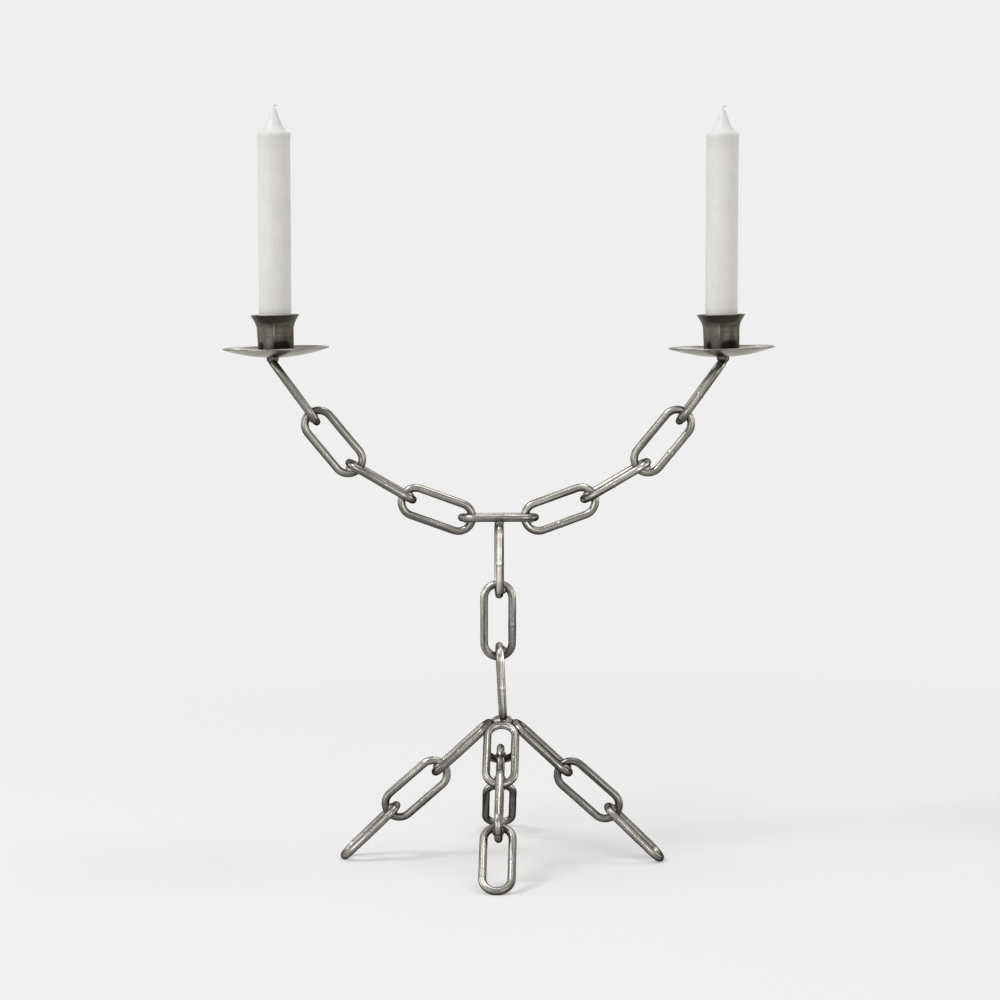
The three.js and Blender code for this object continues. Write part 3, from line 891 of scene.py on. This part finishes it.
class CANDELABRA_OT_chain(bpy.types.Operator):
    """Sweep the chain links of the stem, arms and legs"""

    bl_idname = "candelabra.chain"
    bl_label = "Chain Links"

    def execute(self, context):
        settings = context.scene.candelabra_chain
        places = link_places()
        middles, axes = zip(*(places[name] for name in LINKS))
        chain = add_points("chain_links", middles, axes)
        keep(chain.data, "batch", [BATCH_STEP * i for i in range(len(LINKS))])
        keep(chain.data, "shade", [LINK_TONE_AND_SHADE.get(name, 1.0) for name in LINKS])
        steel = steel_material(
            "drawn_chain_steel", settings.steel, settings.stain, settings.roughness, along=0.03,
            across=0.46, streak=1.0, patch_size=16 * MM, pits=0.42, bump=0.2, edge=0.17, scorch_and_painted_dark=0.35,
        )
        inputs = {label: getattr(settings, label.lower().replace(" ", "_")) for label in CHAIN_INPUTS}
        settle(chain, chain_tree(), {"Material": steel, **inputs})
        self.mark_surface(chain.data, settings, context.scene.candelabra_welds)
        dress(chain, steel, "stand", LINKS)
        return {"FINISHED"}

    def mark_surface(self, mesh, settings, welds):
        """Keeps on every point how the wire was drawn, its painted highlight and shade by which way it faces,
        and how near one of WELDS it lies.
        """
        loop, wire, place = (kept(mesh, name) for name in ("loop_place", "wire_place", "position"))
        facing = np.empty(place.size)
        mesh.vertex_normals.foreach_get("vector", facing)
        # Painted light: lighter where the wire faces up, painted shade where it faces down
        uppermost = facing.reshape(-1, 3) @ Vector(LIT_SIDE).normalized()
        lit_and_shaded = ramped(uppermost, ((-0.55, 1 - settings.painted_shade), (0.1, 1.0), (0.8, 1 + settings.painted_highlight)))
        shade = kept(mesh, "shade")[:, 0] * lit_and_shaded
        wire *= settings.wire / 2 / MM
        loop *= settings.link_length / MM / math.pi
        beads = np.array([bead.middle for bead in weld_beads(welds, settings)])
        away = np.linalg.norm(place[:, None] - beads[None], axis=2).min(axis=1)
        forget(mesh, "loop_place", "wire_place", "turn", "shade")
        keep(mesh, "grain", np.stack([loop[:, 0], loop[:, 1], wire[:, 0]], axis=1))
        keep(mesh, "grain_w", wire[:, 1])
        keep(mesh, "burn_and_painted_dark", np.clip(TINT_PEAK - away / TINT_REACH, 0.0, 1.0))
        keep(mesh, "shade", shade)


class CANDELABRA_OT_welds(bpy.types.Operator):
    """Lay the weld beads of the stem, the legs and the pans"""

    bl_idname = "candelabra.welds"
    bl_label = "Weld Beads"

    def execute(self, context):
        settings = context.scene.candelabra_welds
        beads = weld_beads(settings, context.scene.candelabra_chain)
        welds = add_points("weld_beads", [bead.middle for bead in beads], [bead.axes for bead in beads])
        for name in ("half_size", "roughcast", "ceiling", "shade"):
            keep(welds.data, name, [getattr(bead, name) for bead in beads])
        steel = steel_material(
            "weld_metal", settings.steel, settings.scale, settings.roughness,
            along=0.4, across=0.4, streak=0.7, patch_size=3 * MM, pits=0.4, bump=0.6,
        )
        settle(welds, weld_tree(), {
            "Material": steel, "Lumps": settings.lumps, "Fineness": settings.fineness,
        })
        forget(welds.data, "turn", "half_size", "roughcast", "ceiling")
        keep(welds.data, "grain", kept(welds.data, "position") / MM)
        dress(welds, steel, "stand", WELDS)
        return {"FINISHED"}


class CANDELABRA_OT_pans(bpy.types.Operator):
    """Spin the two drip pans"""

    bl_idname = "candelabra.pans"
    bl_label = "Drip Pans"

    def execute(self, context):
        settings = context.scene.candelabra_holders
        reach, wall, steps = settings.pan_radius, settings.pan_wall, 28
        lip = reach - wall / 2
        radii = [lip * i / steps for i in range(steps + 1)]
        under = [(radius, settings.pan_depth * (radius / reach) ** 2) for radius in radii]
        profile = under + arc((lip, under[-1][1] + wall / 2), wall / 2, -80, 80, 6)
        profile += [(radius, rise + wall) for radius, rise in reversed(under)]
        steel = steel_material(
            "spun_pan_steel", settings.pan_steel, [level * 0.4 for level in settings.pan_steel],
            settings.pan_roughness, along=0.8, across=0.5, streak=0.6, patch_size=14 * MM,
            pits=0.1, bump=0.04, edge=0.8,
        )
        for side in SIDES:
            node = f"{side}_drip_pan"
            pan = lathe(f"{side}_spun_pan", profile, settings.segments, upright_place(node))
            travelled = kept(pan.data, "grain")[:, 2]
            keep(pan.data, "shade", np.full(len(travelled), PAN_SHADES[side]))
            # Darker just inside the rim, and painted shade round the cup's foot
            keep(pan.data, "burn_and_painted_dark", ramped(travelled - travelled.max() + reach / MM, PAN_TINT))
            dress(pan, steel, "stand", [node])
        return {"FINISHED"}


class CANDELABRA_OT_cups(bpy.types.Operator):
    """Spin the two candle cups with their flared rims"""

    bl_idname = "candelabra.cups"
    bl_label = "Candle Cups"

    def execute(self, context):
        settings = context.scene.candelabra_holders
        wall, corner, foot = settings.cup_wall, settings.cup_corner, settings.cup_foot
        throat, rim = settings.cup_throat, settings.cup_rim
        low, high = settings.throat_height, settings.cup_height - wall / 2
        wall_steps, flare_steps = 16, 14
        outside, inside = ([
            (throat - inset + (rim - throat) * part ** settings.flare, low + (high - low) * part)
            for part in (i / flare_steps for i in range(flare_steps + 1))
        ] for inset in (0.0, wall))
        profile = [(0.0, 0.0), (foot - corner, 0.0)]
        profile += arc((foot - corner, corner), corner, -75, 0, 5)
        profile += [
            (foot + (throat - foot) / wall_steps * i, corner + (low - corner) / wall_steps * i)
            for i in range(1, wall_steps)
        ]
        profile += outside
        profile += arc((rim - wall / 2, high), wall / 2, 15, 165, 6)
        profile += inside[::-1]
        inner, floor, cove = foot - wall, settings.cup_floor, 0.65 * MM
        profile += [(inner, floor + cove), (inner - cove, floor), (0.0, floor)]
        steel = steel_material(
            "blackened_cup_steel", settings.cup_steel, [level * 0.55 for level in settings.cup_steel],
            settings.cup_roughness, along=2.0, across=0.25, streak=0.5, patch_size=9 * MM,
            pits=0.1, bump=0.04, edge=0.8, scorch_and_painted_dark=1.0,
        )
        for side in SIDES:
            node = f"{side}_candle_cup"
            cup = lathe(f"{side}_flared_cup", profile, settings.segments, upright_place(node))
            heights, turns = heights_and_turns(cup.data, node)
            # Painted reflection: an upright glint, a lighter left and darker right, and a paler throat
            keep(cup.data, "shade", self.sheened(heights, turns - CUP_GLINTS[side]))
            # Painted dark reflection on the flare and foot, and painted shade where the foot sits in the pan
            keep(cup.data, "burn_and_painted_dark", self.darkened(heights, turns, settings.cup_height * BAND_HEIGHT))
            dress(cup, steel, "stand", [node])
        return {"FINISHED"}

    def sheened(self, heights, turns):
        """Painted reflection: how light the steel is, paler under the flare, and darker to the right of a
        painted upright glint.
        """
        turns = (turns + 180) % 360 - 180
        glint = ramped(np.abs(turns), ((0, 1.0), (4, 0.0))) * ramped(heights, ((10, 0.0), (15, 1.0)), MM)
        body = ramped(heights, ((19.5, 1.0), (21.5, 0.0)), MM)
        return ramped(heights, CUP_PAINTED_THROAT, MM) * (1 + (ramped(turns, CUP_PAINTED_SIDES) + glint - 1) * body)

    def darkened(self, heights, turns, band_height):
        """How much darker the steel is: painted dark reflection on the upper flare front and back and in
        patches at the foot, and painted shade at the very foot where it sits in the pan.
        """
        sideways = np.abs((turns + 90) % 180 - 90)
        above = heights - band_height - BAND_BOW * (sideways / 60) ** 2
        band = ramped(above, ((-0.6, 0.0), (0.6, 0.52)), MM) * ramped(sideways, ((36, 1.0), (52, 0.0)))
        darkened = np.maximum(band, ramped(heights, ((4.0, 0.3), (8.0, 0.0)), MM))
        for middle, half, height in PAINTED_FOOT_REFLECTIONS:
            away = np.abs((turns - middle + 180) % 360 - 180) / half
            spread = (away ** 3 + (heights / (height * MM)) ** 6) ** 0.25
            darkened = np.maximum(darkened, ramped(spread, ((0.8, 0.95), (1.05, 0.0))))
        return darkened


class CANDELABRA_OT_candles(bpy.types.Operator):
    """Pour the two straight candles with their drawn-in tips"""

    bl_idname = "candelabra.candles"
    bl_label = "Candles"

    def execute(self, context):
        settings = context.scene.candelabra_candles
        radius, length, side_steps = settings.radius, settings.length, 12
        foot, low = radius - settings.foot_inset, settings.foot_height
        band, lip = radius + settings.band, length - settings.band_height
        edge, top = settings.foot_round, length + settings.tip_height
        profile = [(0.0, 0.0), (foot - edge, 0.0), *arc((foot - edge, edge), edge, -75, 0, 4)]
        profile += [(radius - 0.1 * MM, low * 0.8), (radius, low)]
        profile += [(radius, low + (lip - low) * i / side_steps) for i in range(1, side_steps)]

        # The lip swells out of the side and is rounded over at the shoulder
        profile += [(radius, lip - 0.5 * MM), (band - 0.06 * MM, lip - 0.1 * MM), (band, lip + 0.15 * MM)]
        profile += [(band, length - 0.35 * MM), (band - 0.12 * MM, length - 0.08 * MM)]

        # The tip draws in from the shoulder to its small flat top, which has a rounded edge
        bends = [(radius, 0.5 * MM), *((r * MM, h * MM) for r, h in TIP_BENDS)]
        bends += [(settings.tip_radius + 0.3 * MM, settings.tip_height - 0.5 * MM)]
        profile += [(r, length + h) for r, h in smooth_curve(bends, 6)]
        profile += arc((settings.tip_radius - 0.2 * MM, top - 0.5 * MM), 0.5 * MM, 15, 90, 4)
        profile += [(0.0, top)]
        wax = wax_material(settings)
        for side in SIDES:
            node = f"{side}_candle"
            candle = lathe(f"{side}_wax_candle", profile, settings.segments, upright_place(node), 60.0)
            heights, _ = heights_and_turns(candle.data, node)
            # How far up the tip the painted light goes
            keep(candle.data, "tip", ramped(heights - length, ((-1, 0.0), (2, 1.0)), MM))
            dress(candle, wax, f"{side}_candle_body", [node])
        return {"FINISHED"}


class CANDELABRA_OT_wicks(bpy.types.Operator):
    """Twist the two short wicks"""

    bl_idname = "candelabra.wicks"
    bl_label = "Wicks"

    def execute(self, context):
        settings = context.scene.candelabra_candles
        stand, curl = settings.wick_stand, settings.wick_curl
        stand_steps, curl_steps, sides = 8, 33, 24
        cotton = wick_material(settings)
        rising = [(0.0, stand * (i / stand_steps)) for i in range(stand_steps)]
        curling = [
            (curl * (1 - math.cos(a)), stand + curl * math.sin(a))
            for a in np.radians(np.linspace(0, CURL_TURN, curl_steps + 1))
        ]
        for side in SIDES:
            node = f"{side}_wick"
            low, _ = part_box(node)
            axis = upright_place(f"{side}_candle").translation
            start = Vector((axis.x, axis.y, low.z))
            path = [start + Vector((x, 0.0, z)) for x, z in rising + curling]
            path[0] -= UP * WICK_SINK
            wick = sweep(
                f"{side}_braided_wick", path, settings.wick_radius, sides, WICK_STRANDS, WICK_TWIST
            )
            dress(wick, cotton, f"{side}_candle_body", [node])
        return {"FINISHED"}


class CANDELABRA_OT_stage(bpy.types.Operator):
    """Set up the floor, the pale background, the soft lamps and the camera"""

    bl_idname = "candelabra.stage"
    bl_label = "Stage"

    def execute(self, context):
        settings = context.scene.candelabra_stage
        context.scene.view_settings.view_transform = "Standard"
        self.add_floor(settings)
        self.set_world(context.scene, settings)
        for name, (azimuth, elevation, width, height, radiance) in LAMPS.items():
            self.add_lamp(name, math.radians(azimuth), math.radians(elevation), width, height, radiance)
        bpy.data.lights["side_right"].color = settings.warm
        camera = add_piece("camera", bpy.data.cameras.new("camera"))
        camera.data.lens = settings.lens
        camera.location = settings.camera_place
        camera.rotation_euler = (settings.camera_tilt, 0.0, 0.0)
        context.scene.camera = camera
        return {"FINISHED"}

    def seen_rays(self, nodes):
        """1 for rays that see the background: from the camera, off metal and through glass."""
        path = nodes.add("ShaderNodeLightPath")
        direct = nodes.math("MAXIMUM", path["Is Camera Ray"], path["Is Glossy Ray"])
        return nodes.math("MAXIMUM", direct, path["Is Transmission Ray"])

    def add_floor(self, settings):
        """A lit floor that fades out into the plain background away from the object."""
        half = settings.floor_size
        mesh = bpy.data.meshes.new("floor")
        places = [(x * half, y * half, 0) for x, y in ((-1, -1), (1, -1), (1, 1), (-1, 1))]
        mesh.from_pydata(places, [], [(0, 1, 2, 3)])
        floor = add_piece("floor", mesh)
        material, nodes = new_material("pale_floor")
        out = nodes.add("ShaderNodeVectorMath", {0: nodes.object_place()}, operation="LENGTH")["Value"]
        reach = settings.shadow_reach
        near = nodes.ramp(out, reach * settings.shadow_core, reach, 1.0, 0.0, "SMOOTHSTEP")
        plain = nodes.math("SUBTRACT", 1.0, nodes.math("MULTIPLY", near, settings.shadow))
        plain = nodes.math("MULTIPLY", plain, self.seen_rays(nodes))
        lit = nodes.add("ShaderNodeBsdfDiffuse", {"Color": paint(settings.floor)})[0]
        flat = nodes.add("ShaderNodeEmission", {"Color": paint(settings.background)})[0]
        both = nodes.add("ShaderNodeMixShader", {0: plain, 1: lit, 2: flat})[0]
        nodes.add("ShaderNodeOutputMaterial", {0: both})
        mesh.materials.append(material)

    def set_world(self, scene, settings):
        """Even light from all round, behind which the camera and the metal see the background."""
        scene.world = bpy.data.worlds.new("studio")
        nodes = cleared(scene.world)
        light, pale = (
            nodes.add("ShaderNodeBackground", {"Color": paint(color)})[0]
            for color in ((settings.ambient,) * 3, settings.background)
        )
        both = nodes.add("ShaderNodeMixShader", {0: self.seen_rays(nodes), 1: light, 2: pale})[0]
        nodes.add("ShaderNodeOutputWorld", {0: both})

    def add_lamp(self, name, turn, lift, width, height, radiance):
        """A large soft panel that faces the object; its turn is counted from the camera's side."""
        lamp = bpy.data.lights.new(name, "AREA")
        lamp.shape = "RECTANGLE"
        lamp.size, lamp.size_y = width, height
        lamp.energy = radiance * math.pi * width * height
        way = Vector((math.sin(turn) * math.cos(lift), -math.cos(turn) * math.cos(lift), math.sin(lift)))
        piece = add_piece(name, lamp)
        piece.location = way * LAMP_DISTANCE + LAMP_AIM
        piece.rotation_euler = way.to_track_quat("Z", "Y").to_euler()
        piece.visible_camera = False


class CANDELABRA_PT_panel(bpy.types.Panel):
    """Lists the pieces of the candelabra"""

    bl_idname = "CANDELABRA_PT_panel"
    bl_label = "Candelabra"
    bl_space_type = "VIEW_3D"
    bl_region_type = "UI"
    bl_category = "Candelabra"

    def draw(self, context):
        for operator in OPERATORS:
            self.layout.operator(operator.bl_idname)
        for label in SETTINGS:
            box = self.layout.box()
            group = getattr(context.scene, label)
            for name in group.bl_rna.properties.keys():
                if name not in ("rna_type", "name"):
                    box.prop(group, name)


SETTINGS = {
    "candelabra_chain": ChainSettings,
    "candelabra_welds": WeldSettings,
    "candelabra_holders": HolderSettings,
    "candelabra_candles": CandleSettings,
    "candelabra_stage": StageSettings,
}
OPERATORS = (
    CANDELABRA_OT_chain, CANDELABRA_OT_welds, CANDELABRA_OT_pans, CANDELABRA_OT_cups,
    CANDELABRA_OT_candles, CANDELABRA_OT_wicks, CANDELABRA_OT_stage,
)


def register():
    for label, group in SETTINGS.items():
        bpy.utils.register_class(group)
        setattr(bpy.types.Scene, label, PointerProperty(type=group))
    for operator in OPERATORS:
        bpy.utils.register_class(operator)
    bpy.utils.register_class(CANDELABRA_PT_panel)


def unregister():
    bpy.utils.unregister_class(CANDELABRA_PT_panel)
    for operator in reversed(OPERATORS):
        bpy.utils.unregister_class(operator)
    for label, group in SETTINGS.items():
        delattr(bpy.types.Scene, label)
        bpy.utils.unregister_class(group)


def main():
    register()
    bpy.ops.candelabra.chain()
    bpy.ops.candelabra.welds()
    bpy.ops.candelabra.pans()
    bpy.ops.candelabra.cups()
    bpy.ops.candelabra.candles()
    bpy.ops.candelabra.wicks()
    bpy.ops.candelabra.stage()


if __name__ == "__main__":
    main()
